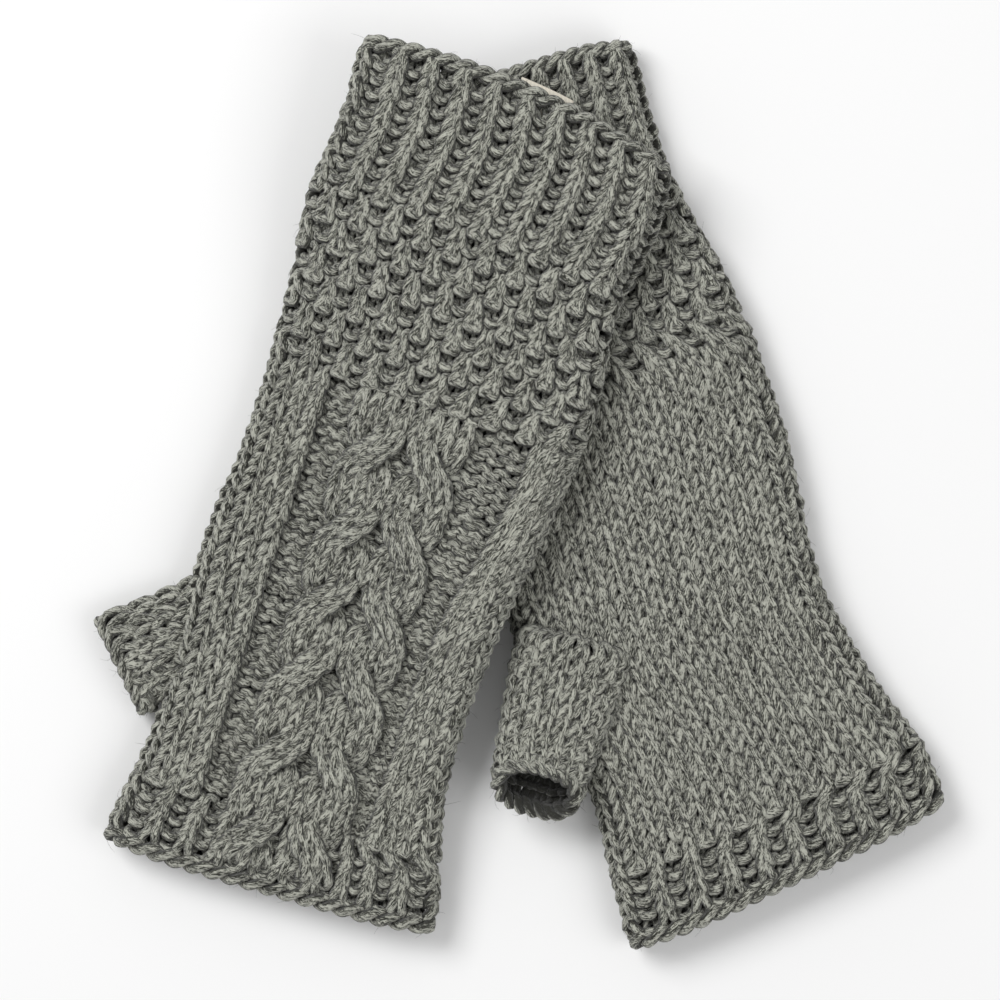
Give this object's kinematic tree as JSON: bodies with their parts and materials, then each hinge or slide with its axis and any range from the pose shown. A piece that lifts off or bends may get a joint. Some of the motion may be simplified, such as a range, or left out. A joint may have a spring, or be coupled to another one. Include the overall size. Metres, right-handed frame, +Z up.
{
  "type": "pair of fingerless gloves",
  "caption": "Pair of hand-knitted fingerless gloves with ribbed cuffs, moss stitch bands, a cable on the back and short open thumbs, one glove lying across the other.",
  "frame": {"origin": "on the table, under the middle of the pair's bounding box", "axes": "+Z up from the table the gloves lie on, +Y towards the cuffs, +X towards the right glove's fingers"},
  "size_m": [0.2842, 0.3054, 0.0398],
  "materials": {
    "wool": "soft matt heathered mid-grey plied wool yarn, hand-knitted",
    "ribbon": "plain woven cream cotton ribbon"
  },
  "bodies": {
    "right_glove": {"right_cuff_edge": "wool", "right_cuff_back": "wool", "right_cuff_palm": "wool", "right_band_back": "wool", "right_band_palm": "wool", "right_back_thumb_side": "wool", "right_cable_panel": "wool", "right_back_outer_side": "wool", "right_hand_palm": "wool", "right_hem_back": "wool", "right_hem_palm": "wool", "right_finger_edge": "wool"},
    "right_thumb_tube": {"right_thumb": "wool", "right_thumb_edge": "wool"},
    "left_glove": {"left_band_back": "wool", "left_band_palm": "wool", "left_back_thumb_side": "wool", "left_cable_panel": "wool", "left_back_outer_side": "wool", "left_hand_palm": "wool", "left_hem_back": "wool", "left_hem_palm": "wool", "left_finger_edge": "wool"},
    "left_cuff": {"left_cuff_edge": "wool", "left_cuff_back": "wool", "left_cuff_palm": "wool", "left_label": "ribbon"},
    "left_thumb_tube": {"left_thumb": "wool", "left_thumb_edge": "wool"}
  },
  "joints": [
    {"name": "left_glove_lift", "type": "slide", "parent": "right_glove", "child": "left_glove", "axis": [0, 0, 1], "range_m": [0, 0.12]},
    {"name": "left_cuff_turn", "type": "hinge", "parent": "left_glove", "child": "left_cuff", "pos_m": [-0.01408, 0.08998, 0.0384], "axis": [0.9292, -0.3695, 0], "range_deg": [0, 60]},
    {"name": "right_thumb_fold", "type": "hinge", "parent": "right_glove", "child": "right_thumb_tube", "pos_m": [0.01616, -0.05717, 0.0226], "axis": [-0.9659, 0.2588, 0], "range_deg": [0, 60]},
    {"name": "left_thumb_fold", "type": "hinge", "parent": "left_glove", "child": "left_thumb_tube", "pos_m": [-0.11747, -0.0491, 0.0129], "axis": [0.3035, 0.9528, 0], "range_deg": [0, 50]}
  ]
}
